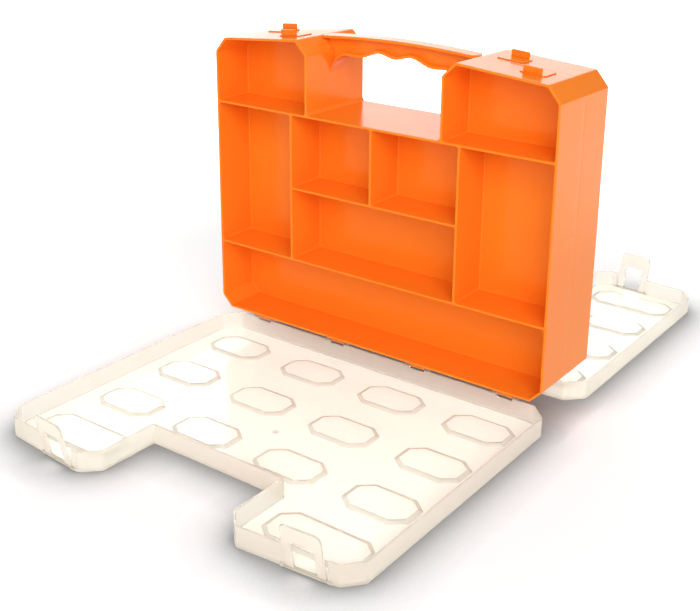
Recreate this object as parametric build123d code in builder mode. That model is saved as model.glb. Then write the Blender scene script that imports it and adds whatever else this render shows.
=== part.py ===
from build123d import *
import math
import os

# Double-sided organizer box: one upright body with compartments on both faces, and a shallow
# lid on each face. The box stands as it does when both lids are opened flat on the table.
# Millimetres. X runs along the width, -Y is the front, Z is up, and Z = 0 is the table.

# Body
body_width = 290.0
body_depth = 69.0
wall = 1.8
inner_height = 223.7  # top of a horn beside the notch, above the body's underside
horn_fall = 5.7  # how much lower a horn's top is at its outer end
notch_width = 114.5
notch_radius = 3.0
bottom_chamfer = 9.0
outer_chamfer_width = 9.2
outer_chamfer_height = 10.8
inner_chamfer = 10.0

# Compartments
column_pitch = 72.5
row_pitch = 56.5
row_count = 3

# Handle
handle_rise = 3.0  # crown of the handle above the horns' inner tops
handle_depth = 14.0
flange = 2.2
web = 2.0
grip_drop = 12.4  # outer finger bumps of the grip below the horns' inner tops
finger_pitch = 28.6
finger_rise = 2.6
middle_rise = 2.2  # middle finger bump above the outer two
grip_foot_drop = 29.2  # ends of the grip, on the notch walls, below the horns' inner tops
grip_bulge = 4.0  # how far the grip's end arches bow out from straight

# Lids
lid_depth = 14.5
lid_skin = 1.5
lid_gap = 0.5
lid_drop = 2.5  # extra room under the body for the hinge
edge_round = 0.8
pane_width = 50.0
pane_height = 32.0
pane_corner_share = 0.25  # part of a pane's height that each cut corner takes
pane_corner_run = 1.25  # width of a cut corner for its height
horn_pane_margin = 8.0
pane_slope = 3.0
pane_step = 1.4

# Hinges
hinge_drop = 6.5  # hinge axis below the body's underside
pin_radius = 1.5
pin_fit = 0.05
hook_wall = 1.45
hook_width = 12.0
hook_mouth = 2.4
hinge_pitch = 74.0
hinge_count = 4
lug_width = 4.0
lug_wall = 0.5
side_play = 0.4
rail_gap = 1.0
hook_notch_depth = 2.0
lug_root = 0.5

# Latches
latch_outer_inset = 30.0  # from the box's side to the middle of an outer latch
latch_inner_inset = 29.75  # from the notch wall to the middle of an inner latch
latch_width = 27.5
latch_length = 32.0
latch_skin = 1.5
latch_lift = 1.0
latch_bar = 11.8
latch_leg = 6.0
latch_corner = 4.5
latch_lean = 12.5  # degrees that an open loop leans out from its latched direction
knuckle_radius = 1.25
eye_radius = 1.45
eye_width = 2.5
stub_radius = 0.6
stub_length = 2.0
latch_side_gap = 0.5
latch_under_gap = 0.2

# Catches
catch_width = 13.5
catch_height = 5.0
catch_skin = 2.0
catch_inset = 16.1  # from the body's face to the catch
catch_round = 0.8
pad_height = 0.7
pad_length = 16.0
pad_margin = 3.0  # pad beyond each side of its catch
pad_lip = 0.5  # pad in front of its catch
pad_round = 3.0

half_width = body_width / 2
half_depth = body_depth / 2
half_notch = notch_width / 2
notch_floor = row_count * row_pitch
outer_height = inner_height - horn_fall
grip_height = inner_height - grip_drop
latch_outer_x = half_width - latch_outer_inset
latch_inner_x = half_notch + latch_inner_inset
face_y = half_depth + lid_gap + lid_skin
rim_y = face_y - lid_depth
hook_radius = pin_radius + pin_fit + hook_wall
knuckle = pin_radius + lug_wall
hinge_y = rim_y - knuckle  # the lugs stand flush with the lid's rim
stand = hinge_drop + face_y - hinge_y
rail_y = hinge_y - knuckle - rail_gap
slope = math.degrees(math.atan2(horn_fall, half_width - outer_chamfer_width - half_notch - inner_chamfer))
latch_axis_y = face_y - eye_radius
latch_axis_rise = latch_lift + latch_skin / 2
row_tops = [row_pitch * (row + 1) for row in range(row_count)]
column_lines = [-column_pitch, 0.0, column_pitch]
column_edges = [-half_width, *column_lines, half_width]
hinge_stations = [hinge_pitch * (i - (hinge_count - 1) / 2) for i in range(hinge_count)]
lid_hinge = Axis((0, -hinge_y, stand - hinge_drop), (1, 0, 0))
lid_latches = (latch_outer_x, -latch_inner_x)


def front_plane(y):
    """Upright plane at the given Y, facing the front, with heights from the body's underside."""
    return Plane(origin=(0, y, stand), x_dir=(1, 0, 0), z_dir=(0, -1, 0))


def side_plane(x):
    """Upright plane at the given X, facing +X, with heights from the body's underside."""
    return Plane(origin=(x, 0, stand), x_dir=(0, 1, 0), z_dir=(1, 0, 0))


def horn_top(x):
    """Height of a horn's sloped top above the body's underside."""
    run = half_width - outer_chamfer_width - abs(x)
    return outer_height + run * math.tan(math.radians(slope))


def horn_plane(x, lift=0.0):
    """Plane on a horn's sloped top at the given X, raised by lift along its normal."""
    tilt = math.radians(slope) * (1 if x > 0 else -1)
    along = (math.cos(tilt), 0, -math.sin(tilt))
    normal = (math.sin(tilt), 0, math.cos(tilt))
    return Plane(origin=(x, 0, stand + horn_top(x)), x_dir=along, z_dir=normal).offset(lift)


def grown(points, amount):
    """Corners of a counter-clockwise outline after each of its sides moves outwards by amount."""
    corners = [Vector(*point) for point in points]
    moved = []
    for i, corner in enumerate(corners):
        arriving = (corner - corners[i - 1]).normalized()
        leaving = (corners[(i + 1) % len(corners)] - corner).normalized()
        out = Vector(arriving.Y + leaving.Y, -arriving.X - leaving.X)
        moved.append(corner + out * (amount / (1 + arriving.dot(leaving))))
    return moved


def box_outline(grow=0.0, drop=0.0, radius=notch_radius):
    """Front view of the box with its two horns, grown by grow and lowered at the bottom by drop.
    The notch's corners keep one centre while the outline grows, so that a lid fits them."""
    right_side = [
        (half_width - bottom_chamfer - drop, -drop),
        (half_width, bottom_chamfer),
        (half_width, outer_height - outer_chamfer_height),
        (half_width - outer_chamfer_width, outer_height),
        (half_notch + inner_chamfer, inner_height),
        (half_notch, inner_height - inner_chamfer),
        (half_notch, notch_floor),
    ]
    left_side = [(-x, z) for x, z in reversed(right_side)]
    with BuildSketch() as outline:
        with BuildLine():
            Polyline(*grown(right_side + left_side, grow), close=True)
        make_face()
        if radius > grow:
            within = outline.vertices().filter_by_position(Axis.X, -half_notch, half_notch)
            fillet(within.group_by(Axis.Y)[0], radius - grow)
    return outline.sketch


def block(x_span, y_span, z_span):
    """A plain wall between the given spans, with heights from the body's underside."""
    with BuildPart() as piece:
        with BuildSketch(front_plane(max(y_span))):
            with Locations(((x_span[0] + x_span[1]) / 2, (z_span[0] + z_span[1]) / 2)):
                Rectangle(x_span[1] - x_span[0], z_span[1] - z_span[0])
        extrude(amount=max(y_span) - min(y_span))
    return piece.part


def save(part, name):
    part.label = name
    export_step(part, f"parts/{name}.step")


def turned(part):
    """The same piece for the rear, turned half round about the upright axis."""
    return part.rotate(Axis.Z, 180)


def body_shell():
    """The outer wall, which runs round the two horns and the notch."""
    outside = box_outline()
    inside = box_outline(grow=-wall, radius=-wall)
    with BuildPart() as shell:
        with BuildSketch(front_plane(half_depth)):
            add(outside)
            add(inside, mode=Mode.SUBTRACT)
        extrude(amount=body_depth)
    return shell.part


def partition():
    """The wall at mid depth that parts the front compartments from the rear ones."""
    inside = box_outline(grow=-wall, radius=-wall)
    with BuildPart() as panel:
        with BuildSketch(front_plane(wall / 2)):
            add(inside)
        extrude(amount=wall)
    return panel.part


def dividers():
    """Name and spans in X and Z of each divider, front and rear."""
    side = half_width - wall
    low = (row_tops[0] - wall, row_tops[0])
    middle = (row_tops[1] - wall, row_tops[1])
    horn = (notch_floor - wall, notch_floor)
    left, centre, right = [(x - wall / 2, x + wall / 2) for x in column_lines]
    horn_floors = {"left": (-side, -half_notch - wall), "right": (half_notch + wall, side)}
    front = {
        "shelf_low": ((-side, side), low),
        "shelf_middle": ((left[1], right[0]), middle),
        "divider_left": (left, (low[1], horn[0])),
        "divider_centre": (centre, (middle[1], horn[0])),
        "divider_right": (right, (low[1], horn[0])),
    }
    rear = {
        "divider_left": (left, (wall, horn[0])),
        "divider_centre": (centre, (wall, horn[0])),
        "divider_right": (right, (wall, horn[0])),
    }
    bays = [(-side, left[0]), (left[1], centre[0]), (centre[1], right[0]), (right[1], side)]
    for column, bay in enumerate(bays, start=1):
        rear[f"shelf_low_{column}"] = (bay, low)
        rear[f"shelf_middle_{column}"] = (bay, middle)
    for where, span in horn_floors.items():
        front[f"horn_floor_{where}"] = (span, horn)
        rear[f"horn_floor_{where}"] = (span, horn)
    return front, rear


def handle_outline():
    """Front view of the handle between the horns' inner chamfers and the notch walls, with finger
    bumps along its underside and an arch down to the notch wall at each end."""
    top = (half_notch + inner_chamfer, inner_height)
    corner = (half_notch, inner_height - inner_chamfer)
    foot = (half_notch, inner_height - grip_foot_drop)
    arch_top = (finger_pitch + finger_pitch / 2, grip_height)
    middle_bump = grip_height + middle_rise
    bumps = [(finger_pitch, grip_height), (finger_pitch / 2, middle_bump + finger_rise)]
    with BuildSketch() as outline:
        with BuildLine() as half:
            Polyline(top, corner, foot)
            SagittaArc(foot, arch_top, -grip_bulge)
            Spline(arch_top, *bumps, (0, middle_bump), tangents=[(-1, 0), (-1, 0)])
            ThreePointArc(top, half_crown(), (0, inner_height + handle_rise))
            mirror(half.line, about=Plane.YZ)
        make_face()
    return outline.sketch


def half_crown():
    """Point of the handle's crown halfway from its middle to its end."""
    span = half_notch + inner_chamfer
    radius = (span**2 + handle_rise**2) / (2 * handle_rise)
    return (span / 2, inner_height + handle_rise - radius + math.sqrt(radius**2 - span**2 / 4))


def handle():
    """The carrying handle: a thin web with a flange above and below it."""
    outline = handle_outline()
    with BuildSketch() as pocket_face:
        add(outline.moved(Location((0, flange, 0))))
        add(outline.moved(Location((0, -flange, 0))), mode=Mode.INTERSECT)
    with BuildPart() as grip:
        with BuildSketch(front_plane(handle_depth / 2)):
            add(outline)
        extrude(amount=handle_depth)
        with BuildSketch(front_plane(handle_depth / 2), front_plane(-web / 2)):
            add(pocket_face.sketch)
        extrude(amount=(handle_depth - web) / 2, mode=Mode.SUBTRACT)
    return grip.part


def catch(x):
    """The upright tab on the front part of a horn that a latch loop snaps over."""
    with BuildPart() as tab:
        with BuildSketch(horn_plane(x, pad_height)):
            with Locations((0, -half_depth + catch_inset + catch_skin / 2)):
                Rectangle(catch_width, catch_skin)
        extrude(amount=catch_height - pad_height)
        corners = tab.edges().filter_by(Axis.Y).group_by(Axis.Z)[-2:]
        fillet(corners[0] + corners[1], catch_round)
    return tab.part


def catch_pad(x):
    """The low pad that a catch stands on, with its two corners at the catch rounded."""
    with BuildPart() as plate:
        with BuildSketch(horn_plane(x)) as flat:
            with Locations((0, -half_depth + catch_inset - pad_lip + pad_length / 2)):
                Rectangle(catch_width + 2 * pad_margin, pad_length)
            fillet(flat.vertices().group_by(Axis.Y)[0], pad_round)
        extrude(amount=pad_height)
    return plate.part


def hinge_rail():
    """The rib under the body that carries the front lid's hooks."""
    half_length = hinge_stations[-1] + hook_width / 2 + side_play + lug_width
    return block((-half_length, half_length), (-rail_y, -rail_y + wall), (-hinge_drop - hook_radius, 0))


def hinge_hooks():
    """The hooks on the rail that snap over the front lid's pins, open below."""
    with BuildPart() as hooks:
        with BuildSketch(*[side_plane(x - hook_width / 2) for x in hinge_stations]):
            with Locations((-hinge_y, -hinge_drop)):
                Circle(hook_radius)
            with Locations((-(hinge_y + rail_y) / 2, -hinge_drop)):
                Rectangle(hinge_y - rail_y, 2 * hook_radius)
            with Locations((-hinge_y, -hinge_drop)):
                Circle(pin_radius + pin_fit, mode=Mode.SUBTRACT)
            with Locations((-hinge_y, -hinge_drop - hook_radius / 2)):
                Rectangle(hook_mouth, hook_radius, mode=Mode.SUBTRACT)
        extrude(amount=hook_width)
    return hooks.part


def hinge_pins():
    """The round pins of the front lid, each between two lugs."""
    length = hook_width + 2 * side_play
    with BuildPart() as pins:
        with BuildSketch(*[side_plane(x - length / 2) for x in hinge_stations]):
            with Locations((-hinge_y, -hinge_drop)):
                Circle(pin_radius)
        extrude(amount=length)
    return pins.part


def hinge_lugs():
    """The lugs that hold the pins, on the rim of the closed front lid's bottom wall."""
    reach = hook_width / 2 + side_play
    starts = [x + shift for x in hinge_stations for shift in (-reach - lug_width, reach)]
    wall_top = -lid_gap - lid_drop
    with BuildPart() as lugs:
        with BuildSketch(*[side_plane(x) for x in starts]):
            with Locations((-hinge_y, -hinge_drop)):
                Circle(knuckle)
            with Locations((-rim_y + lug_root / 2, wall_top - lid_skin / 2)):
                Rectangle(lug_root, lid_skin)
            make_hull()
        extrude(amount=lug_width)
    return lugs.part


def pane(width, height):
    """The raised step of one pane of a closed lid, centred on the origin of its face."""
    w, h = width / 2, height / 2
    rise = height * pane_corner_share
    run = rise * pane_corner_run
    half = [(w, h - rise), (w - run, h), (-w + run, h), (-w, h - rise)]
    foot = half + [(-x, -z) for x, z in half]
    with BuildPart() as step:
        for inset, lift in ((0, 0), (pane_slope, pane_step)):
            with BuildSketch(front_plane(lift - face_y)):
                with BuildLine():
                    Polyline(*grown(foot, -inset), close=True)
                make_face()
        loft(ruled=True)
    return step.part


def pane_places():
    """Centre and size of each pane: one for each cell of the lid's grid, and one on each horn."""
    places = []
    for left, right in zip(column_edges, column_edges[1:]):
        for top in row_tops:
            places.append(((left + right) / 2, top - row_pitch / 2, pane_width, pane_height))
    horn_x = (half_notch + half_width) / 2
    horn_z = (notch_floor + outer_height) / 2
    width = half_width - half_notch - 2 * horn_pane_margin
    height = outer_height - notch_floor - 2 * horn_pane_margin
    for side in (-1, 1):
        places.append((side * horn_x, horn_z, width, height))
    return places


def lid_panel():
    """The flat of the closed front lid inside its rim, with its stepped panes."""
    steps = [(x, z, pane(width, height)) for x, z, width, height in pane_places()]
    gaps = [latch_gap(x) for x in lid_latches]
    eyes = [latch_eyes(x, eye_radius) for x in lid_latches]
    inside = box_outline(grow=lid_gap, drop=lid_drop)
    with BuildPart() as panel:
        with BuildSketch(front_plane(lid_skin - face_y)):
            add(inside)
        extrude(amount=lid_skin)
        for x, z, step in steps:
            add(step.moved(Location((x, lid_skin, z))))
            add(step.moved(Location((x, 0, z))), mode=Mode.SUBTRACT)
        add(gaps + eyes, mode=Mode.SUBTRACT)
    return panel.part


def lid_rim():
    """The wall round the closed front lid, with gaps for its hinge hooks and its two latches. The
    latches part it in two: the long stretch by the hinge, and the stretch along the notch."""
    outside = box_outline(grow=lid_gap + lid_skin, drop=lid_drop)
    inside = box_outline(grow=lid_gap, drop=lid_drop)
    gaps = [latch_gap(x) for x in lid_latches]
    eyes = [latch_eyes(x, eye_radius) for x in lid_latches]
    bores = [latch_eyes(x, stub_radius + pin_fit) for x in lid_latches]
    with BuildPart() as rim:
        with BuildSketch(front_plane(-rim_y)):
            add(outside)
        extrude(amount=lid_depth)
        fillet(rim.faces().sort_by(Axis.Y)[0].edges(), edge_round)
        with BuildSketch(front_plane(-rim_y)):
            add(inside)
        extrude(amount=lid_depth, mode=Mode.SUBTRACT)
        for station in hinge_stations:
            with BuildSketch(side_plane(station - hook_width / 2 - side_play)):
                with Locations((-rim_y - hook_notch_depth / 2, -lid_gap - lid_drop - lid_skin / 2)):
                    Rectangle(hook_notch_depth, 2 * lid_skin)
            extrude(amount=hook_width + 2 * side_play, mode=Mode.SUBTRACT)
        add(gaps, mode=Mode.SUBTRACT)
        add(eyes)
        add(bores, mode=Mode.SUBTRACT)
    return rim.solids().sort_by(SortBy.VOLUME, reverse=True)


def latch_gap(x):
    """The space cut out of a closed lid for the latch at the given X."""
    with BuildPart() as space:
        with BuildSketch(horn_plane(x, latch_under_gap)):
            with Locations((0, -face_y)):
                Rectangle(latch_width + 2 * latch_side_gap, 2 * lid_depth)
        extrude(amount=2 * eye_radius)
    return space.part


def latch_eyes(x, radius):
    """Round bars about a latch's hinge axis, one at each side of its gap."""
    half_gap = latch_width / 2 + latch_side_gap
    planes = [latch_end_plane(x, start) for start in (-half_gap - eye_width, half_gap)]
    with BuildPart() as eyes:
        with BuildSketch(*planes):
            Circle(radius)
        extrude(amount=eye_width)
    return eyes.part


def latch_end_plane(x, along):
    """Plane across a closed latch's hinge axis, at the given distance along it from the middle."""
    top = horn_plane(x, latch_axis_rise)
    origin = top.from_local_coords((along, -latch_axis_y, 0))
    return Plane(origin=origin, x_dir=top.y_dir, z_dir=top.x_dir)


def latch_axis(x):
    """Hinge axis of the closed front lid's latch at the given X."""
    middle = latch_end_plane(x, 0)
    return Axis(middle.origin, middle.z_dir)


def latch_loop(x):
    """A closed latch: a flat loop with a window, a round root and two stub pins."""
    root_y = -latch_axis_y
    tip_y = root_y + latch_length
    window = (latch_width - 2 * latch_leg, latch_length - latch_bar - knuckle_radius)
    half_stub = latch_width / 2 + stub_length
    with BuildPart() as loop:
        with BuildSketch(horn_plane(x, latch_lift)) as flat:
            with Locations((0, (root_y + tip_y) / 2)):
                Rectangle(latch_width, latch_length)
            fillet(flat.vertices().group_by(Axis.Y)[-1], latch_corner)
            with Locations((0, root_y + knuckle_radius + window[1] / 2)):
                Rectangle(*window, mode=Mode.SUBTRACT)
        extrude(amount=latch_skin)
        with BuildSketch(latch_end_plane(x, -latch_width / 2)):
            Circle(knuckle_radius)
        extrude(amount=latch_width)
        with BuildSketch(latch_end_plane(x, -half_stub)):
            Circle(stub_radius)
        extrude(amount=2 * half_stub)
    return loop.part


def opened(part):
    """A piece of the closed front lid, turned with it until the lid lies on the table."""
    return part.rotate(lid_hinge, 90)


def main():
    os.makedirs("parts", exist_ok=True)
    save(body_shell(), "body_shell")
    save(partition(), "partition")
    front, rear = dividers()
    for name, (x_span, z_span) in front.items():
        save(block(x_span, (-half_depth, -wall / 2), z_span), f"front_{name}")
    for name, (x_span, z_span) in rear.items():
        save(block(x_span, (wall / 2, half_depth), z_span), f"rear_{name}")
    save(handle(), "handle")
    for name, x in zip(("outer", "inner"), lid_latches):
        save(catch(x), f"front_catch_{name}")
        save(turned(catch(x)), f"rear_catch_{name}")
        save(catch_pad(x), f"front_catch_pad_{name}")
        save(turned(catch_pad(x)), f"rear_catch_pad_{name}")
        loop = latch_loop(x).rotate(latch_axis(x), latch_lean)
        save(opened(loop), f"front_latch_{name}")
        save(turned(opened(loop)), f"rear_latch_{name}")
    long_rim, notch_rim = lid_rim()
    lid_pieces = {
        "lid_panel": lid_panel(),
        "lid_rim": long_rim,
        "lid_notch_rim": notch_rim,
        "lid_lugs": hinge_lugs(),
        "lid_pins": hinge_pins(),
    }
    for name, piece in lid_pieces.items():
        save(opened(piece), f"front_{name}")
        save(turned(opened(piece)), f"rear_{name}")
    for name, piece in (("hinge_rail", hinge_rail()), ("hinge_hooks", hinge_hooks())):
        save(piece, f"front_{name}")
        save(turned(piece), f"rear_{name}")


main()
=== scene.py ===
import math

import bmesh
import bpy
from mathutils import Matrix, Vector


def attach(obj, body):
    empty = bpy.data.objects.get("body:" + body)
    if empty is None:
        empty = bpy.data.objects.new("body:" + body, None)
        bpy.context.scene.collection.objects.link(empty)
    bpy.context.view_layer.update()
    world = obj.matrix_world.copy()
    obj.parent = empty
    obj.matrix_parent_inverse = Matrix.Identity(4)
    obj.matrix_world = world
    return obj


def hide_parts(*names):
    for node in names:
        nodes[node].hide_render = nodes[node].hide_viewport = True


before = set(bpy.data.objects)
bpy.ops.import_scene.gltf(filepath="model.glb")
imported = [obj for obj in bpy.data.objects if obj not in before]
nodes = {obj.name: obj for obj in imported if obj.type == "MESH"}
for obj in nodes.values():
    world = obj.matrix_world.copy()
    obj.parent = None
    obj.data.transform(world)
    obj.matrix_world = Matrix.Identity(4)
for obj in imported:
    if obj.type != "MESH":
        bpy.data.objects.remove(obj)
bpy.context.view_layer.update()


# Body moulding
# The upright body is one injection moulding of orange polypropylene: a wall round two horns and a
# hand notch, a partition at mid depth, and dividers that make eight front and fourteen rear bays.

per_metre = 1000  # sizes are in mm, and Blender's are in metres
stand = 23.0  # the body's underside above the table; the box's heights start there
half_width = 145.0
half_depth = 34.5
wall = 1.8
half_notch = 57.25
notch_floor = 169.5
bottom_chamfer = 9.0
outer_top = 218.0
inner_top = 223.7
outer_chamfer_width = 9.2
outer_chamfer_height = 10.8
inner_chamfer = 10.0
corner_radius = 3.0
corner_steps = 5
column_pitch = 72.5
row_pitch = 56.5
rim_round = 0.45
rim_steps = 3
bay_corner_radius = 1.5
bay_floor_round = 1.0
bay_floor_steps = 4
crease = math.radians(30)  # edges that turn more than this shade sharp
same_point = 1e-7  # metres

orange_tones = ("#FF821C", "#FF8B26")
orange_shine = "#FFC890"
orange_specular = 0.4
orange_roughness = (0.16, 0.24)
polypropylene_ior = 1.49
noise_ends = (0.3, 0.7)  # most of a noise's values lie between these
melt_run = 60.0  # from one low wave of the wall to the next
melt_rise = 0.12
sink_edge = (0.4, 3.0)  # a sink mark runs out between these distances from its inner wall
sink_depth = 0.09
pin_marks = [(-33.5, -17.0), (-18.0, -17.0)]  # across and in depth, on the notch's floor
pin_edge = (1.7, 2.3)
pin_depth = 0.12
peel_run = 3.5
peel_rise = 0.1
peel_strength = 0.05
glow_share = 0.12
glow_reach = 3.0
glow_spread = (1.0, 0.45, 0.12)  # red light goes farthest in orange plastic


def colour(code):
    """An sRGB hex code as the linear colour that shaders take."""
    parts = [int(code[i:i + 2], 16) / 255 for i in (1, 3, 5)]
    linear = [part / 12.92 if part <= 0.04045 else ((part + 0.055) / 1.055) ** 2.4 for part in parts]
    return (*linear, 1.0)


def node(tree, kind, settings=None, links=None):
    """Adds a shader node, sets its properties and sockets, and links other nodes' outputs to it."""
    made = tree.nodes.new(kind)
    for name, value in (settings or {}).items():
        if isinstance(name, str) and hasattr(made, name):
            setattr(made, name, value)
        else:
            made.inputs[name].default_value = value
    for name, source in (links or {}).items():
        tree.links.new(source, made.inputs[name])
    return made


def new_material(name):
    made = bpy.data.materials.new(name)
    made.use_nodes = True
    made.node_tree.nodes.clear()
    return made, made.node_tree


def finish_material(tree, surface):
    node(tree, "ShaderNodeOutputMaterial", links={"Surface": surface})


def fit_range(tree, value, start, end, low=0.0, high=1.0):
    """A smooth step of a value: low at start, and high at end and beyond."""
    ranges = {"From Min": start, "From Max": end, "To Min": low, "To Max": high}
    settings = {"interpolation_type": "SMOOTHSTEP", **ranges}
    return node(tree, "ShaderNodeMapRange", settings, {"Value": value}).outputs["Result"]


def moulded_orange_polypropylene():
    """Polypropylene from a polished mould: an even, deep orange under a clear gloss. Low waves and
    the sink marks over the inner walls bend its reflections, and thin rims glow. Two mould pins left
    round dimples in the notch's floor."""
    made, tree = new_material("moulded_orange_polypropylene")
    place = node(tree, "ShaderNodeTexCoord").outputs["Object"]
    waves = {"Scale": per_metre / melt_run, "Detail": 2.0, "Roughness": 0.4}
    flow = node(tree, "ShaderNodeTexNoise", waves, {"Vector": place}).outputs["Fac"]
    tones = {"Color1": colour(orange_tones[0]), "Color2": colour(orange_tones[1])}
    tone = node(tree, "ShaderNodeMixRGB", tones, {"Fac": flow})
    rough = fit_range(tree, flow, *noise_ends, *orange_roughness)

    # Sink marks over the partition and the shelves
    sink_start, sink_end = [distance / per_metre for distance in sink_edge]
    axes = node(tree, "ShaderNodeSeparateXYZ", links={"Vector": place})
    depth = node(tree, "ShaderNodeMath", {"operation": "ABSOLUTE"}, {0: axes.outputs["Y"]})
    over_partition = fit_range(tree, depth.outputs[0], sink_start, sink_end)
    from_foot = {"operation": "SUBTRACT", 1: (stand - wall / 2) / per_metre}
    height = node(tree, "ShaderNodeMath", from_foot, {0: axes.outputs["Z"]})
    between_shelves = {"operation": "PINGPONG", 1: row_pitch / 2 / per_metre}
    to_shelf = node(tree, "ShaderNodeMath", between_shelves, {0: height.outputs[0]})
    over_shelf = fit_range(tree, to_shelf.outputs[0], sink_start, sink_end)
    both = {0: over_partition, 1: over_shelf}
    sink = node(tree, "ShaderNodeMath", {"operation": "MINIMUM"}, both).outputs[0]

    # The mould pins' dimples
    distances = []
    for across, in_depth in pin_marks:
        pin = Vector((across, in_depth, notch_floor + stand)) / per_metre
        away = node(tree, "ShaderNodeVectorMath", {"operation": "DISTANCE", 1: pin}, {0: place})
        distances.append(away.outputs["Value"])
    nearest = node(tree, "ShaderNodeMath", {"operation": "MINIMUM"}, dict(enumerate(distances)))
    pin_start, pin_end = [distance / per_metre for distance in pin_edge]
    dimple = fit_range(tree, nearest.outputs[0], pin_start, pin_end)

    fine = {"Scale": per_metre / peel_run, "Detail": 2.0}
    peel = node(tree, "ShaderNodeTexNoise", fine, {"Vector": place}).outputs["Fac"]
    reliefs = [
        (flow, melt_rise, 1.0),
        (sink, sink_depth, 1.0),
        (dimple, pin_depth, 1.0),
        (peel, peel_rise, peel_strength),
    ]
    normal = {}
    for relief, rise, strength in reliefs:
        settings = {"Strength": strength, "Distance": rise / per_metre}
        bump = node(tree, "ShaderNodeBump", settings, {"Height": relief, **normal})
        normal = {"Normal": bump.outputs["Normal"]}
    settings = {
        "IOR": polypropylene_ior,
        "Specular IOR Level": orange_specular,
        "Specular Tint": colour(orange_shine),
        "Subsurface Weight": glow_share,
        "Subsurface Radius": glow_spread,
        "Subsurface Scale": glow_reach / per_metre,
    }
    links = {"Base Color": tone.outputs["Color"], "Roughness": rough, **normal}
    plastic = node(tree, "ShaderNodeBsdfPrincipled", settings, links)
    finish_material(tree, plastic.outputs["BSDF"])
    return made


def dress(piece, material):
    piece.data.materials.clear()
    piece.data.materials.append(material)


def turned_corner(corners, i):
    """A corner of an outline with the unit outward normals of the sides before and after it."""
    before, here, after = [Vector(corners[(i + k) % len(corners)][:2]) for k in (-1, 0, 1)]
    arriving, leaving = (here - before).normalized(), (after - here).normalized()
    return here, Vector((arriving.y, -arriving.x)), Vector((leaving.y, -leaving.x))


def moved_sides(corners, amount, radius):
    """The corners after each side moves outwards by amount, all with one radius."""
    moved = []
    for i in range(len(corners)):
        here, first, last = turned_corner(corners, i)
        moved.append((*(here + amount * (first + last) / (1 + first.dot(last))), radius))
    return moved


def ring(corners, grow=0.0, steps=corner_steps):
    """Points round an outline (x, z, radius) that has grown by grow. Each corner keeps its centre,
    and so every ring of one outline has as many points, in the same order."""
    points = []
    for i in range(len(corners)):
        here, first, last = turned_corner(corners, i)
        turn = math.atan2(first.cross(last), first.dot(last))
        reach = math.copysign(corners[i][2], turn)
        centre = here - reach * (first + last) / (1 + first.dot(last))
        for k in range(steps + 1):
            cosine, sine = math.cos(turn * k / steps), math.sin(turn * k / steps)
            out = Vector((cosine * first.x - sine * first.y, sine * first.x + cosine * first.y))
            points.append(centre + (reach + grow) * out)
    return points


def quarter_round(radius, steps):
    """Pairs (in, down) along a quarter round, from beside the edge, (radius, 0), to (0, radius)."""
    turns = [math.pi / 2 * k / steps for k in range(steps + 1)]
    return [(radius * (1 - math.sin(turn)), radius * (1 - math.cos(turn))) for turn in turns]


def loop_at(shape, corners, grow, depth):
    """A closed loop of vertices round a front view of the body, at a depth."""
    loop = []
    for point in ring(corners, grow):
        place = (point.x / per_metre, depth / per_metre, (point.y + stand) / per_metre)
        loop.append(shape.verts.new(place))
    return loop


def band(shape, loops):
    """Quads between closed loops of equal length."""
    for low, high in zip(loops, loops[1:]):
        for i in range(len(low)):
            shape.faces.new((low[i - 1], low[i], high[i], high[i - 1]))


def plate(shape, loops):
    """A flat face bounded by its outline, the first loop, and by holes, the others."""
    edges = []
    for loop in loops:
        for i in range(len(loop)):
            pair = (loop[i - 1], loop[i])
            edges.append(shape.edges.get(pair) or shape.edges.new(pair))
    bmesh.ops.triangle_fill(shape, edges=edges, use_beauty=True)


def even_shading(piece):
    """Shades by the large faces, so that narrow rounds don't bend the flats beside them."""
    even = piece.modifiers.new("even_shading", "WEIGHTED_NORMAL")
    even.keep_sharp = True


def new_object(name, mesh):
    """A named object that shades smooth except across creases."""
    mesh.shade_smooth()
    mesh.set_sharp_from_angle(angle=crease)
    piece = bpy.data.objects.new(name, mesh)
    bpy.context.collection.objects.link(piece)
    even_shading(piece)
    return piece


def mesh_from(name, shape):
    bmesh.ops.remove_doubles(shape, verts=shape.verts, dist=same_point)
    bmesh.ops.recalc_face_normals(shape, faces=shape.faces)
    mesh = bpy.data.meshes.new(name)
    shape.to_mesh(mesh)
    shape.free()
    return mesh


def box_corners(drop=0.0):
    """Front view of the box's outline, counter-clockwise from the foot's right end."""
    right = [
        (half_width - bottom_chamfer - drop, -drop),
        (half_width, bottom_chamfer),
        (half_width, outer_top - outer_chamfer_height),
        (half_width - outer_chamfer_width, outer_top),
        (half_notch + inner_chamfer, inner_top),
        (half_notch, inner_top - inner_chamfer),
        (half_notch, notch_floor),
    ]
    return [(*point, corner_radius) for point in right + [(-x, z) for x, z in reversed(right)]]


def mirrored(corners):
    """The same outline on the other side, still counter-clockwise."""
    return [(-x, z, radius) for x, z, radius in reversed(corners)]


def bay(left, right, low, high):
    """Front view of a plain bay. One on the body's floor has the floor's chamfer beside a side."""
    inside = moved_sides(box_corners(), -wall, bay_corner_radius)
    foot, side = inside[0], inside[1]
    radius = bay_corner_radius
    left_foot, right_foot = [(left, low, radius)], [(right, low, radius)]
    if low <= wall and left < -foot[0]:
        left_foot = [(-side[0], side[1], radius), (-foot[0], foot[1], radius)]
    if low <= wall and right > foot[0]:
        right_foot = [foot, side]
    return left_foot + right_foot + [(right, high, radius), (left, high, radius)]


def horn_bay():
    """Front view of the bay in the right horn, under the horn's own outline."""
    inside = moved_sides(box_corners(), -wall, bay_corner_radius)
    ends = (half_notch + wall, half_width - wall)
    return [(x, notch_floor, bay_corner_radius) for x in ends] + inside[2:6]


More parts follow.
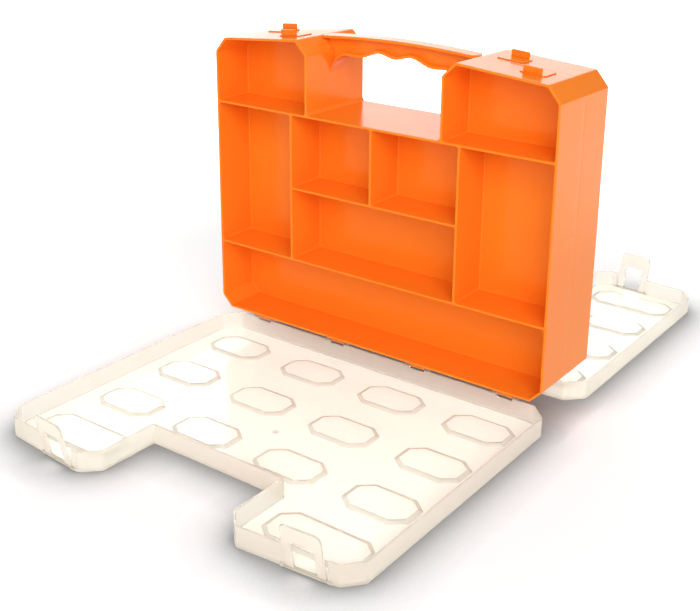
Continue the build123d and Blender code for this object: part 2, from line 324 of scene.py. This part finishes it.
inner_side = half_width - wall
half_wall = wall / 2
left_line, centre_line, right_line = -column_pitch, 0.0, column_pitch
low_top, middle_top = row_pitch, 2 * row_pitch
under_horn = notch_floor - wall
front_bays = [
    bay(-inner_side, inner_side, wall, low_top - wall),
    bay(-inner_side, left_line - half_wall, low_top, under_horn),
    bay(left_line + half_wall, right_line - half_wall, low_top, middle_top - wall),
    bay(left_line + half_wall, centre_line - half_wall, middle_top, under_horn),
    bay(centre_line + half_wall, right_line - half_wall, middle_top, under_horn),
    bay(right_line + half_wall, inner_side, low_top, under_horn),
]
rear_bays = []
lines = (-inner_side - half_wall, left_line, centre_line, right_line, inner_side + half_wall)
for left, right in zip(lines, lines[1:]):
    for low, high in ((wall, low_top - wall), (low_top, middle_top - wall), (middle_top, under_horn)):
        rear_bays.append(bay(left + half_wall, right - half_wall, low, high))

shape = bmesh.new()
rim_profile = quarter_round(rim_round, rim_steps)
bay_floor_profile = quarter_round(bay_floor_round, bay_floor_steps)[::-1]
outer_loops = {}
for side, bays in ((-1, front_bays), (1, rear_bays)):
    outer_loops[side] = []
    for inward, down in rim_profile:
        outer_loops[side].append(loop_at(shape, box_corners(), -inward, side * (half_depth - down)))
    mouths = []
    for corners in [*bays, horn_bay(), mirrored(horn_bay())]:
        loops = [loop_at(shape, corners, inward, side * (half_depth - down)) for inward, down in rim_profile]
        for inward, down in bay_floor_profile:
            loops.append(loop_at(shape, corners, -inward, side * (half_wall + down)))
        band(shape, loops)
        plate(shape, loops[-1:])
        mouths.append(loops[0])
    plate(shape, [outer_loops[side][0], *mouths])
band(shape, outer_loops[-1] + outer_loops[1][::-1])

orange = moulded_orange_polypropylene()
body = new_object("body_moulding", mesh_from("body_moulding", shape))
dress(body, orange)
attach(body, "body")
walls_inside = ["shelf_low", "shelf_middle", "divider_left", "divider_centre", "divider_right"]
shelves = [f"shelf_{row}_{column}" for row in ("low", "middle") for column in (1, 2, 3, 4)]
horn_floors = ["horn_floor_left", "horn_floor_right"]
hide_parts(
    "body_shell",
    "partition",
    *[f"front_{name}" for name in walls_inside + horn_floors],
    *[f"rear_{name}" for name in walls_inside[2:] + shelves + horn_floors],
)


# Handle
# The carrying handle is moulded with the body: a thin web between two flanges, which bridges the
# notch at mid depth. Its underside has bumps that part the fingers.

handle_rise = 3.0
half_handle = 7.0
flange = 2.2
half_web = 1.0
grip_height = 211.3
finger_pitch = 28.6
first_bump = 1.5  # finger pitches from the handle's middle
finger_top = 216.1
middle_bump = 213.5
grip_foot = 194.5
grip_bulge = 4.0
handle_round = 0.7
handle_round_steps = 4
least_lips = 2.2  # the handle is at least this many lip radii high
web_round = 0.9
root_sink = 0.3  # how far the handle's ends reach into the body
root_runs = (5.6, 5.0, 4.0, 2.0, 0.0)  # sections down the chamfer at each end
arch_steps = 12
wave_steps = 8

half_span = half_notch + inner_chamfer
crown_radius = (half_span**2 + handle_rise**2) / (2 * handle_rise)


def crown(x):
    """Height of the handle's top, which is a shallow arc."""
    return inner_top + handle_rise - crown_radius + math.sqrt(crown_radius**2 - x**2)


def end_arch(steps):
    """The underside from a notch wall up to the first finger bump, as an arc."""
    foot = Vector((half_notch + root_sink, grip_foot))
    top = Vector((first_bump * finger_pitch, grip_height))
    chord = top - foot
    radius = (chord.length**2 / 4 + grip_bulge**2) / (2 * grip_bulge)
    bow = Vector((chord.y, -chord.x)).normalized()
    centre = (foot + top) / 2 - bow * (radius - grip_bulge)
    arms = [end - centre for end in (foot, top)]
    first, last = [math.atan2(arm.y, arm.x) for arm in arms]
    turns = [first + (last - first) * k / steps for k in range(steps + 1)]
    return [(centre.x + radius * math.cos(turn), centre.y + radius * math.sin(turn)) for turn in turns]


def finger_wave(steps):
    """The underside from the first finger bump to the middle one, as a cubic spline that is level
    at both ends and has a knot every half pitch."""
    heights = [grip_height, grip_height, finger_top, middle_bump]
    rises = [3 * (heights[2] - heights[0]), 3 * (heights[3] - heights[1])]
    slopes = [0.0, (4 * rises[0] - rises[1]) / 15, (4 * rises[1] - rises[0]) / 15, 0.0]
    points = []
    for part in range(3):
        for k in range(1, steps + 1):
            t = k / steps
            z = heights[part] * (1 + 2 * t) * (1 - t)**2 + slopes[part] * t * (1 - t)**2
            z += heights[part + 1] * t * t * (3 - 2 * t) + slopes[part + 1] * t * t * (t - 1)
            points.append(((first_bump - (part + t) / 2) * finger_pitch, z))
    return points


def handle_section(x, bottom):
    """The handle's cross-section at x, in (y, z): two flanges joined by a web."""
    top = crown(x)
    low, high = bottom + flange, max(top - flange, bottom + flange)
    bend = min(web_round, (high - low) / 2)
    lip = min(handle_round, (top - bottom) / least_lips)
    right = [
        (half_handle, bottom, lip),
        (half_handle, low, lip),
        (half_web, low, bend),
        (half_web, high, bend),
        (half_handle, high, lip),
        (half_handle, top, lip),
    ]
    return ring(right + [(-y, z, radius) for y, z, radius in reversed(right)], steps=handle_round_steps)


root = half_notch + root_sink
chamfer_foot = inner_top - inner_chamfer
stations = [(root + run, chamfer_foot + run - root_sink) for run in root_runs]
stations += end_arch(arch_steps) + finger_wave(wave_steps)
stations += [(-x, z) for x, z in reversed(stations[:-1])]
shape = bmesh.new()
loops = []
for x, bottom in stations:
    loop = []
    for point in handle_section(x, bottom):
        place = (x / per_metre, point.x / per_metre, (point.y + stand) / per_metre)
        loop.append(shape.verts.new(place))
    loops.append(loop)
band(shape, loops)
for end, x in ((loops[0], half_span), (loops[-1], -half_span)):
    tip = shape.verts.new((x / per_metre, 0.0, (inner_top + stand) / per_metre))
    for i in range(len(end)):
        shape.faces.new((end[i - 1], end[i], tip))
handle = new_object("handle_moulding", mesh_from("handle_moulding", shape))
dress(handle, orange)
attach(handle, "body")
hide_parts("handle")


# Catches
# Each horn carries an upright tab that a latch loop snaps over, on a low pad behind the rim. Both
# come out of the same mould as the body.

catch_edge = 0.35
pad_edge = 0.2
cad_point = 1e-6  # metres, within which a CAD mesh's vertices are one
flat_turn = math.radians(0.5)  # faces that turn less are one flat
edge_turn = math.radians(40)  # edges that turn more are broken


def soften(piece, radius):
    """Breaks the sharp edges of a CAD piece as its mould does."""
    weld = piece.modifiers.new("weld", "WELD")
    weld.merge_threshold = cad_point
    merge = piece.modifiers.new("merge_flats", "DECIMATE")
    merge.decimate_type = "DISSOLVE"
    merge.angle_limit = flat_turn
    edges = piece.modifiers.new("broken_edges", "BEVEL")
    edges.width = radius / per_metre
    edges.segments = 2
    edges.limit_method = "ANGLE"
    edges.angle_limit = edge_turn
    edges.harden_normals = False
    even_shading(piece)


for side in ("front", "rear"):
    for horn in ("outer", "inner"):
        for name, radius in ((f"{side}_catch_{horn}", catch_edge), (f"{side}_catch_pad_{horn}", pad_edge)):
            soften(nodes[name], radius)
            dress(nodes[name], orange)


# Hinge rails and hooks
# Under each face a rib carries four C-shaped hooks, open below. They are moulded with the body and
# snap over the lid's pins.

hinge_edge = 0.2

for side in ("front", "rear"):
    for name in (f"{side}_hinge_rail", f"{side}_hinge_hooks"):
        soften(nodes[name], hinge_edge)
        dress(nodes[name], orange)


# Lids
# Each lid is one moulding of undyed polypropylene, milky and slightly warm. It is a shallow cap over
# the body's rim, with fourteen stepped panes that stiffen its panel. Opened, it lies on its face.

lid_depth = 14.5
lid_skin = 1.5
lid_gap = 0.5
lid_drop = 2.5
lid_edge_round = 0.8
lid_edge_steps = 4
rim_edge_round = 0.4
rim_edge_steps = 3
panel_round = 1.0
panel_steps = 4
hinge_to_foot = 26.5  # from the body's mid plane to the line of its underside in an open lid
pane_columns = (-1.5, -0.5, 0.5, 1.5)  # column pitches from the middle
pane_rows = (0.5, 1.5, 2.5)  # row pitches from the foot
pane_width = 50.0
pane_height = 32.0
pane_corner_share = 0.25
pane_corner_run = 1.25
pane_corner_radius = 1.5
pane_corner_steps = 3
horn_pane_margin = 8.0
pane_profile = [(-0.2, 0.0), (0.1, 0.05), (0.3, 0.14), (2.7, 1.26), (2.9, 1.35), (3.2, 1.4)]  # inset, lift
hook_places = (-1.5, -0.5, 0.5, 1.5)  # hinge pitches from the middle
hinge_pitch = 74.0
hook_gap = 12.8
hook_notch_depth = 2.0
latch_places = (115.0, -87.0)
latch_gap = 28.5
latch_gap_depth = 4.0
latch_under_gap = 0.2
eye_radius = 1.45
eye_width = 2.5
eye_height = 1.75
gate_radius = 2.2  # the stub of the gate where the melt came in, at the panel's middle
gate_taper = 0.8
gate_height = 0.4
rod_sides = 28
horn_run = half_width - outer_chamfer_width - half_notch - inner_chamfer
horn_slope = math.atan2(inner_top - outer_top, horn_run)

lid_tint = "#FFFFFC"
lid_milk = "#FFFAEE"
lid_shade = "#F4F2EC"  # what a level surface lets through to the shadow under it
wall_shade = "#8F8B84"  # and an upright one
lid_roughness = (0.10, 0.16)
lid_haze = 0.20
# painted shade: a greyer colour that the slanted steps of the panes take on
painted_step_shade = "#DED8CA"  # scattered light from the slanted steps of the panes
slope_haze = 0.38
wall_haze = 0.33  # upright walls are seen through more plastic, and look milkier
through_share = 0.5  # of the scattered light that goes on through the wall
lid_melt_run = 50.0
lid_melt_rise = 0.08
wall_tilt = (0.3, 0.6)  # how level a surface is where walls end and slopes start
level_tilt = (0.93, 0.98)  # and where slopes end


def natural_polypropylene():
    """Undyed polypropylene, 1.5 mm thick: it bends and passes most light and scatters the rest, so
    that it looks creamy on white. The slanted steps of its panes are hazier and carry a painted
    grey shade, so that they read as grey bands, and its walls gather light into grey and bright
    lines. A lamp's light passes it as a plain share, which is smaller through its walls than
    through its panel."""
    made, tree = new_material("natural_polypropylene")
    place = node(tree, "ShaderNodeTexCoord").outputs["Object"]
    waves = {"Scale": per_metre / lid_melt_run, "Detail": 2.0}
    flow = node(tree, "ShaderNodeTexNoise", waves, {"Vector": place}).outputs["Fac"]
    rough = fit_range(tree, flow, *noise_ends, *lid_roughness)
    relief = {"Strength": 1.0, "Distance": lid_melt_rise / per_metre}
    bend = node(tree, "ShaderNodeBump", relief, {"Height": flow}).outputs["Normal"]
    glassy = {"Base Color": colour(lid_tint), "IOR": polypropylene_ior, "Transmission Weight": 1.0}
    clear = node(tree, "ShaderNodeBsdfPrincipled", glassy, {"Roughness": rough, "Normal": bend})

    # How level the surface is in the lid itself, also when the lid is shut
    facing = node(tree, "ShaderNodeNewGeometry").outputs["True Normal"]
    to_lid = {"vector_type": "NORMAL", "convert_from": "WORLD", "convert_to": "OBJECT"}
    in_lid = node(tree, "ShaderNodeVectorTransform", to_lid, {"Vector": facing}).outputs["Vector"]
    axes = node(tree, "ShaderNodeSeparateXYZ", links={"Vector": in_lid})
    level = node(tree, "ShaderNodeMath", {"operation": "ABSOLUTE"}, {0: axes.outputs["Z"]}).outputs[0]
    over_walls = fit_range(tree, level, *wall_tilt)
    under_panes = fit_range(tree, level, *level_tilt, 1.0, 0.0)
    both = {0: over_walls, 1: under_panes}
    slope = node(tree, "ShaderNodeMath", {"operation": "MULTIPLY"}, both).outputs[0]

    # Painted shade: the slanted steps take the greyer colour, and the flats and walls the milky one
    tones = {"Color1": colour(lid_milk), "Color2": colour(painted_step_shade)}
    tone = node(tree, "ShaderNodeMixRGB", tones, {"Fac": slope}).outputs["Color"]
    cream = node(tree, "ShaderNodeBsdfDiffuse", links={"Color": tone, "Normal": bend})
    milk = node(tree, "ShaderNodeBsdfTranslucent", links={"Color": tone, "Normal": bend})
    sides = {1: cream.outputs[0], 2: milk.outputs[0]}
    scatter = node(tree, "ShaderNodeMixShader", {0: through_share}, sides)
    hazes = {
        0: fit_range(tree, level, *wall_tilt, wall_haze, lid_haze),
        1: fit_range(tree, slope, 0.0, 1.0, lid_haze, slope_haze),
    }
    haze = node(tree, "ShaderNodeMath", {"operation": "MAXIMUM"}, hazes).outputs[0]
    parts = {0: haze, 1: clear.outputs[0], 2: scatter.outputs[0]}
    plastic = node(tree, "ShaderNodeMixShader", links=parts)

    shades = {"Color1": colour(wall_shade), "Color2": colour(lid_shade)}
    passed = node(tree, "ShaderNodeMixRGB", shades, {"Fac": level})
    shade = node(tree, "ShaderNodeBsdfTransparent", links={"Color": passed.outputs["Color"]})
    to_lamp = node(tree, "ShaderNodeLightPath").outputs["Is Shadow Ray"]
    parts = {0: to_lamp, 1: plastic.outputs[0], 2: shade.outputs[0]}
    finish_material(tree, node(tree, "ShaderNodeMixShader", links=parts).outputs[0])
    return made


def lid_loop(shape, corners, grow, height, steps=corner_steps):
    """A closed loop of vertices in an open front lid, at a height above its outer face."""
    loop = []
    for point in ring(corners, grow, steps):
        place = (point.x / per_metre, -(hinge_to_foot + point.y) / per_metre, height / per_metre)
        loop.append(shape.verts.new(place))
    return loop


def pane_corners(x, z, width, height):
    """Outline of a pane about its middle: a rectangle with its corners cut, counter-clockwise."""
    right, top = width / 2, height / 2
    rise = height * pane_corner_share
    run = rise * pane_corner_run
    upper = [(right, top - rise), (right - run, top), (-right + run, top), (-right, top - rise)]
    outline = upper + [(-across, -up) for across, up in upper]
    return [(x + across, z + up, pane_corner_radius) for across, up in outline]


def pane_outlines():
    """One pane for each cell of the lid's grid, and one on each horn."""
    outlines = []
    for column in pane_columns:
        for row in pane_rows:
            middle = (column * column_pitch, row * row_pitch)
            outlines.append(pane_corners(*middle, pane_width, pane_height))
    width = half_width - half_notch - 2 * horn_pane_margin
    height = outer_top - notch_floor - 2 * horn_pane_margin
    for side in (-1, 1):
        middle = (side * (half_notch + half_width) / 2, (notch_floor + outer_top) / 2)
        outlines.append(pane_corners(*middle, width, height))
    return outlines


def horn_frame(x, lift):
    """Frame on an open front lid where its horn's top is at x: along the slope, outwards, and up
    from the lid's outer face."""
    tilt = math.copysign(horn_slope, x)
    height = outer_top + (half_width - outer_chamfer_width - abs(x)) * math.tan(horn_slope)
    along = Vector((math.cos(tilt), math.sin(tilt), 0))
    out = Vector((math.sin(tilt), -math.cos(tilt), 0))
    origin = Vector((x, -(hinge_to_foot + height), 0)) + lift * out
    return along, out, origin


def cut_box(shape, along, out, middle, size):
    """Adds a box to a cutter, about its middle."""
    turn = Matrix((along, out, Vector((0, 0, 1)))).transposed().to_4x4()
    scale = Matrix.Diagonal((*(Vector(size) / per_metre), 1))
    place = Matrix.Translation(Vector(middle) / per_metre) @ turn @ scale
    bmesh.ops.create_cube(shape, size=1.0, matrix=place)


def carved(mesh, cutter):
    """The mesh with the cutter taken out of it."""
    whole, knife = bpy.data.objects.new("whole", mesh), bpy.data.objects.new("knife", cutter)
    for piece in (whole, knife):
        bpy.context.collection.objects.link(piece)
    cut = whole.modifiers.new("cut", "BOOLEAN")
    cut.object = knife
    cut.solver = "EXACT"
    worked_out = bpy.context.evaluated_depsgraph_get()
    result = bpy.data.meshes.new_from_object(whole.evaluated_get(worked_out))
    for piece in (whole, knife):
        bpy.data.objects.remove(piece)
    return result


def rod(shape, place, length, radius, taper=1.0):
    """Adds a round rod, about its middle and along the upright axis of its place."""
    bmesh.ops.create_cone(
        shape,
        cap_ends=True,
        segments=rod_sides,
        radius1=radius / per_metre,
        radius2=taper * radius / per_metre,
        depth=length / per_metre,
        matrix=place,
    )


outer_grow = lid_gap + lid_skin
lid_edge = quarter_round(lid_edge_round, lid_edge_steps)
rim_edge = quarter_round(rim_edge_round, rim_edge_steps)
panel_edge = quarter_round(panel_round, panel_steps)
profile = [(outer_grow - inward, down) for inward, down in lid_edge]
profile += [(outer_grow - inward, lid_depth - down) for inward, down in rim_edge[::-1]]
profile += [(lid_gap + inward, lid_depth - down) for inward, down in rim_edge]
profile += [(lid_gap - inward, lid_skin + down) for inward, down in panel_edge[::-1]]

shape = bmesh.new()
shell = [lid_loop(shape, box_corners(drop=lid_drop), grow, height) for grow, height in profile]
band(shape, shell)
for face, outline in ((0.0, shell[0]), (lid_skin, shell[-1])):
    feet = []
    for corners in pane_outlines():
        pane = []
        for inset, lift in pane_profile:
            step = moved_sides(corners, -inset, pane_corner_radius)
            pane.append(lid_loop(shape, step, 0.0, face + lift, pane_corner_steps))
        band(shape, pane)
        plate(shape, pane[-1:])
        feet.append(pane[0])
    plate(shape, [outline, *feet])
whole_lid = mesh_from("whole_lid", shape)

cutter = bmesh.new()
for x in latch_places:
    along, out, foot = horn_frame(x, latch_under_gap)
    middle = foot + latch_gap_depth / 2 * out + Vector((0, 0, lid_depth / 2))
    cut_box(cutter, along, out, middle, (latch_gap, latch_gap_depth, 2 * lid_depth))
hook_row = -hinge_to_foot + lid_gap + lid_drop + lid_skin / 2
for station in hook_places:
    middle = (station * hinge_pitch, hook_row, lid_depth)
    size = (hook_gap, 2 * lid_skin, 2 * hook_notch_depth)
    cut_box(cutter, Vector((1, 0, 0)), Vector((0, 1, 0)), middle, size)
cut_lid = carved(whole_lid, mesh_from("lid_cutter", cutter))

shape = bmesh.new()
shape.from_mesh(cut_lid)
for x in latch_places:
    along, out, foot = horn_frame(x, eye_height)
    lengthwise = along.to_track_quat("Z", "Y").to_matrix().to_4x4()
    for side in (-1, 1):
        middle = foot + side * (latch_gap + eye_width) / 2 * along + Vector((0, 0, eye_radius))
        rod(shape, Matrix.Translation(middle / per_metre) @ lengthwise, eye_width, eye_radius)
gate = Vector((0.0, -hinge_to_foot - 2 * row_pitch, lid_skin)) / per_metre
rod(shape, Matrix.Translation(gate), 2 * gate_height, gate_radius, gate_taper)
shape.to_mesh(cut_lid)
shape.free()

natural = natural_polypropylene()
for side, turn in (("front", 0.0), ("rear", math.pi)):
    mesh = cut_lid.copy()
    mesh.transform(Matrix.Rotation(turn, 4, "Z"))
    lid = new_object(f"{side}_lid_moulding", mesh)
    dress(lid, natural)
    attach(lid, f"{side}_lid")
    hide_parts(f"{side}_lid_panel", f"{side}_lid_rim", f"{side}_lid_notch_rim")


# Lugs and pins
# The lids' hinge pins are moulded on, each between two lugs that stand flush with the rim. They are
# the same undyed plastic as the rest of the lid.

lug_edge = 0.15

for side in ("front", "rear"):
    for name in (f"{side}_lid_lugs", f"{side}_lid_pins"):
        soften(nodes[name], lug_edge)
        dress(nodes[name], natural)


# Latch loops
# Each lid has two clear window-shaped loops of the same plastic, with a round root on stub pins.
# They swing over the catches and snap down behind them. Opened, they lean a little outwards.

loop_width = 27.5
loop_length = 32.0
loop_skin = 1.5
loop_leg = 6.0
loop_bar = 11.8
loop_tip_radius = 4.5
loop_root_radius = 0.5
window_radius = 1.0
loop_round = 0.4
loop_round_steps = 3
knuckle_radius = 1.25
stub_radius = 0.6
half_stubs = 15.75
loop_lean = math.radians(12.5)

half_loop, half_window = loop_width / 2, loop_width / 2 - loop_leg
loop_outline = [
    (-half_loop, 0.0, loop_root_radius),
    (half_loop, 0.0, loop_root_radius),
    (half_loop, loop_length, loop_tip_radius),
    (-half_loop, loop_length, loop_tip_radius),
]
window_top = loop_length - loop_bar
window = [
    (-half_window, knuckle_radius, window_radius),
    (half_window, knuckle_radius, window_radius),
    (half_window, window_top, window_radius),
    (-half_window, window_top, window_radius),
]


def latch_loop(name, x, turn):
    """A loop on an open front lid at x, turned by turn about the upright axis."""
    along, out, foot = horn_frame(x, eye_height)
    reach = math.cos(loop_lean) * Vector((0, 0, 1)) + math.sin(loop_lean) * out
    facing = along.cross(reach)
    place = Matrix((along, reach, facing)).transposed().to_4x4()
    place.translation = (foot + Vector((0, 0, eye_radius))) / per_metre
    shape = bmesh.new()
    flats = {}
    for side in (1, -1):
        flats[side] = []
        for corners, way in ((loop_outline, -1), (window, 1)):
            rounds = []
            for inward, down in quarter_round(loop_round, loop_round_steps):
                z = side * (loop_skin / 2 - down) / per_metre
                points = ring(corners, way * inward)
                rounds.append([shape.verts.new((p.x / per_metre, p.y / per_metre, z)) for p in points])
            flats[side].append(rounds)
        plate(shape, [rounds[0] for rounds in flats[side]])
    for near, far in zip(flats[1], flats[-1]):
        band(shape, near + far[::-1])
    lengthwise = Matrix.Rotation(math.pi / 2, 4, "Y")
    rod(shape, lengthwise, loop_width, knuckle_radius)
    rod(shape, lengthwise, 2 * half_stubs, stub_radius)
    bmesh.ops.transform(shape, matrix=Matrix.Rotation(turn, 4, "Z") @ place, verts=shape.verts)
    return new_object(name, mesh_from(name, shape))


for side, turn in (("front", 0.0), ("rear", math.pi)):
    for horn, x in zip(("outer", "inner"), latch_places):
        loop = latch_loop(f"{side}_{horn}_loop", x, turn)
        dress(loop, natural)
        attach(loop, f"{side}_latch_{horn}")
        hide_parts(f"{side}_latch_{horn}")


# Studio
# A white sweep. A broad panel low behind and to the left gives the tops their pale gloss and the
# lids a soft shadow, which a painted contact shadow on the sweep deepens close to the object, and a
# soft lamp in front lights the faces. Its sizes are in metres.

floor_size = 12.0
floor_drop = 0.0003
floor_paper = "#E9E9E9"
floor_glow = 0.30
# painted contact shadow: black that the sweep takes on close to the object
painted_contact_shadow = "#000000"
contact_reach = 0.035
contact_samples = 8
contact_depth = 3.0
contact_share = 0.75
sweep_start = 0.33  # from the middle, where the sweep starts to burn out to white
sweep_end = 0.70
sky_white = (1, 1, 1, 1)
sky_level = 0.45
gloss_level = 0.2  # what shiny surfaces mirror of the dim side of the room
panel_place = (-0.86, 1.23, 0.74)
panel_size = (2.0, 1.2)
panel_watts = 13.0
front_place = (1.25, -1.5, 1.2)
front_size = (1.5, 1.5)
front_watts = 36.0
lamp_aim = Vector((0, 0, 0.1))


def white_sweep():
    """Matt white paper. What sees it directly, in gloss or through the lids gets a small lift, so
    that it reads as white. Where the object hides the room from it, close by, a painted black
    contact shadow is mixed in, which only the camera sees."""
    made, tree = new_material("white_sweep")
    paper = node(tree, "ShaderNodeBsdfDiffuse", {"Color": colour(floor_paper)})
    path = node(tree, "ShaderNodeLightPath")
    seen = path.outputs["Is Camera Ray"]
    for ray in ("Is Glossy Ray", "Is Transmission Ray"):
        rays = {0: seen, 1: path.outputs[ray]}
        seen = node(tree, "ShaderNodeMath", {"operation": "MAXIMUM"}, rays).outputs[0]
    place = node(tree, "ShaderNodeTexCoord").outputs["Object"]
    away = node(tree, "ShaderNodeVectorMath", {"operation": "LENGTH"}, {0: place})
    glow = fit_range(tree, away.outputs["Value"], sweep_start, sweep_end, floor_glow, 1.0)
    lift = node(tree, "ShaderNodeMath", {"operation": "MULTIPLY"}, {0: seen, 1: glow})
    light = node(tree, "ShaderNodeEmission", links={"Strength": lift.outputs[0]})
    lit = node(tree, "ShaderNodeAddShader", links={0: paper.outputs[0], 1: light.outputs[0]})

    # Painted contact shadow: black mixed in for camera rays where ambient occlusion finds the object near
    reach = {"samples": contact_samples, "Distance": contact_reach}
    open_room = node(tree, "ShaderNodeAmbientOcclusion", reach).outputs["AO"]
    deepen = {"operation": "POWER", 1: contact_depth}
    left_open = node(tree, "ShaderNodeMath", deepen, {0: open_room})
    hidden = node(tree, "ShaderNodeMath", {"operation": "SUBTRACT", 0: 1.0}, {1: left_open.outputs[0]})
    direct = {0: hidden.outputs[0], 1: path.outputs["Is Camera Ray"]}
    shown = node(tree, "ShaderNodeMath", {"operation": "MULTIPLY"}, direct)
    share = node(tree, "ShaderNodeMath", {"operation": "MULTIPLY", 1: contact_share}, {0: shown.outputs[0]})
    contact = node(tree, "ShaderNodeBsdfDiffuse", {"Color": colour(painted_contact_shadow)})
    parts = {0: share.outputs[0], 1: lit.outputs[0], 2: contact.outputs[0]}
    finish_material(tree, node(tree, "ShaderNodeMixShader", links=parts).outputs[0])
    return made


half_floor = floor_size / 2
floor_corners = [(-half_floor, -half_floor), (half_floor, -half_floor)]
floor_corners += [(half_floor, half_floor), (-half_floor, half_floor)]
mesh = bpy.data.meshes.new("floor")
mesh.from_pydata([(x, y, -floor_drop) for x, y in floor_corners], [], [(0, 1, 2, 3)])
floor = bpy.data.objects.new("floor", mesh)
bpy.context.collection.objects.link(floor)
dress(floor, white_sweep())


def soft_lamp(name, place, size, watts):
    """A rectangular lamp that faces the object and that the camera doesn't see."""
    data = bpy.data.lights.new(name, "AREA")
    data.shape = "RECTANGLE"
    data.size, data.size_y = size
    data.energy = watts
    lamp = bpy.data.objects.new(name, data)
    bpy.context.collection.objects.link(lamp)
    lamp.location = place
    lamp.rotation_mode = "QUATERNION"
    lamp.rotation_quaternion = (lamp_aim - Vector(place)).to_track_quat("-Z", "Y")
    lamp.visible_camera = False
    lamp.visible_transmission = False


soft_lamp("back_panel", panel_place, panel_size, panel_watts)
soft_lamp("front_lamp", front_place, front_size, front_watts)

world = bpy.data.worlds.new("studio")
bpy.context.scene.world = world
world.use_nodes = True
sky = world.node_tree
sky.nodes.clear()
path = node(sky, "ShaderNodeLightPath")
plain = node(sky, "ShaderNodeBackground", {"Color": sky_white, "Strength": sky_level})
white = node(sky, "ShaderNodeBackground", {"Color": sky_white, "Strength": 1.0})
dim = node(sky, "ShaderNodeBackground", {"Color": sky_white, "Strength": gloss_level})
rays = {0: path.outputs["Is Camera Ray"], 1: path.outputs["Is Transmission Ray"]}
seen = node(sky, "ShaderNodeMath", {"operation": "MAXIMUM"}, rays)
parts = {0: path.outputs["Is Glossy Ray"], 1: plain.outputs[0], 2: dim.outputs[0]}
unseen = node(sky, "ShaderNodeMixShader", links=parts)
parts = {0: seen.outputs[0], 1: unseen.outputs[0], 2: white.outputs[0]}
room = node(sky, "ShaderNodeMixShader", links=parts)
node(sky, "ShaderNodeOutputWorld", links={"Surface": room.outputs[0]})


# Camera
# The photograph's viewpoint: in front and to the right, a little above the box. The lens axis lies
# to the right of the image's middle and above it.

image_width = 700
sensor_width = 36.0
focal_pixels = 1127.4
camera_place = Vector((0.44817, -0.65427, 0.38113))
camera_yaw = math.radians(34.865)
camera_pitch = math.radians(18.33)
camera_roll = math.radians(1.057)
lens_axis_right = 37.829  # pixels from the image's middle to the lens axis
lens_axis_up = 88.799

camera_data = bpy.data.cameras.new("camera")
camera = bpy.data.objects.new("camera", camera_data)
bpy.context.collection.objects.link(camera)
ahead = Vector((
    -math.sin(camera_yaw) * math.cos(camera_pitch),
    math.cos(camera_yaw) * math.cos(camera_pitch),
    -math.sin(camera_pitch),
))
level = Vector((math.cos(camera_yaw), math.sin(camera_yaw), 0.0))
above = level.cross(ahead)
right = level * math.cos(camera_roll) + above * math.sin(camera_roll)
up = above * math.cos(camera_roll) - level * math.sin(camera_roll)
camera.matrix_world = Matrix((
    (right.x, up.x, -ahead.x, camera_place.x),
    (right.y, up.y, -ahead.y, camera_place.y),
    (right.z, up.z, -ahead.z, camera_place.z),
    (0, 0, 0, 1),
))
camera_data.sensor_fit = "HORIZONTAL"
camera_data.sensor_width = sensor_width
camera_data.lens = focal_pixels * sensor_width / image_width
camera_data.shift_x = -lens_axis_right / image_width
camera_data.shift_y = -lens_axis_up / image_width
camera_data.clip_start = 0.01
camera_data.clip_end = 50.0
bpy.context.scene.camera = camera
bpy.context.scene.view_settings.view_transform = "Standard"
